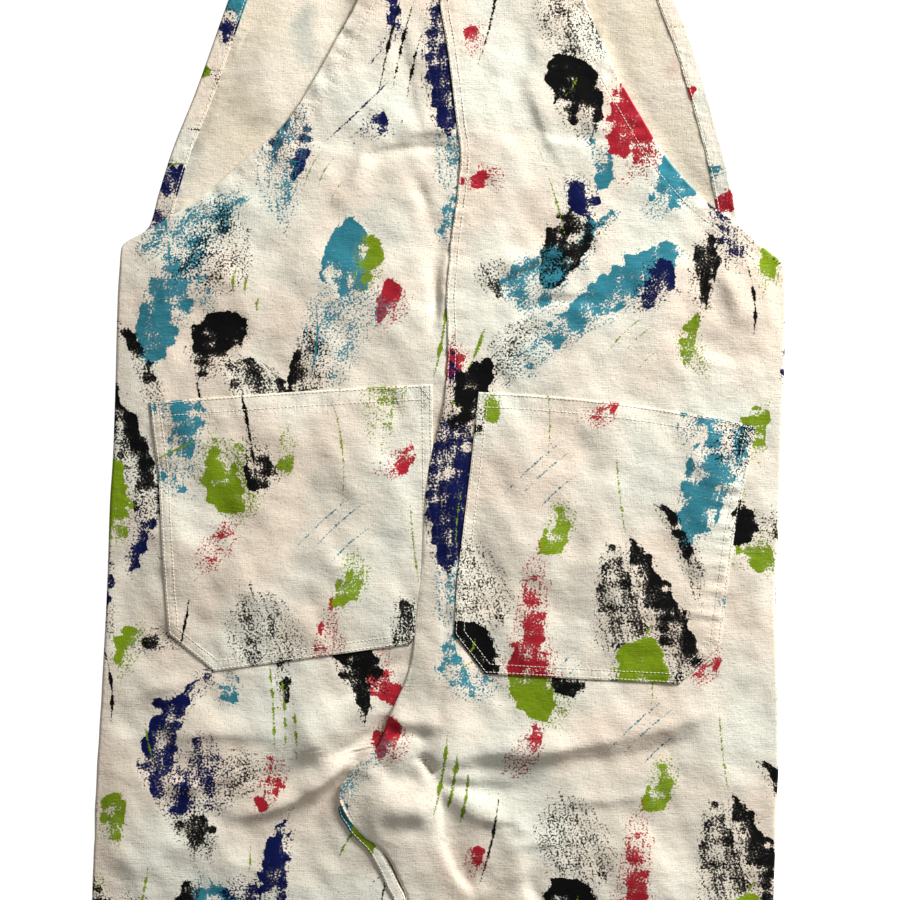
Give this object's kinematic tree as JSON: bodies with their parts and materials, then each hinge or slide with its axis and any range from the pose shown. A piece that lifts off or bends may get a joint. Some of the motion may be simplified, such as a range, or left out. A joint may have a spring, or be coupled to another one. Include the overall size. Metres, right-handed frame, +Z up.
{
  "type": "paint spattered bib overalls",
  "caption": "Canvas bib overalls laid flat, back up: high narrow back, patch seat pockets with cut corners, hemmed bib and buttoned shoulder straps.",
  "frame": {"origin": "bottom centre of the bounding box, on the surface that the overalls lie on", "axes": "+Y up the garment from the leg hems to the straps, +X towards the wearer's right, +Z up through the cloth, out of the back"},
  "size_m": [0.57, 1.5744, 0.0097],
  "materials": {
    "canvas": "matt ecru cotton canvas with dry-brush paint spatter",
    "button": "satin resin, horn colour"
  },
  "bodies": {
    "root": {"back_left": "canvas", "back_right": "canvas", "pocket_left": "canvas", "pocket_right": "canvas", "front_left": "canvas", "front_right": "canvas", "bib": "canvas", "bib_hem_left": "canvas", "bib_hem_right": "canvas", "bib_hem_top": "canvas", "strap_left": "canvas", "strap_right": "canvas", "button_left": "button", "button_right": "button"}
  },
  "joints": []
}
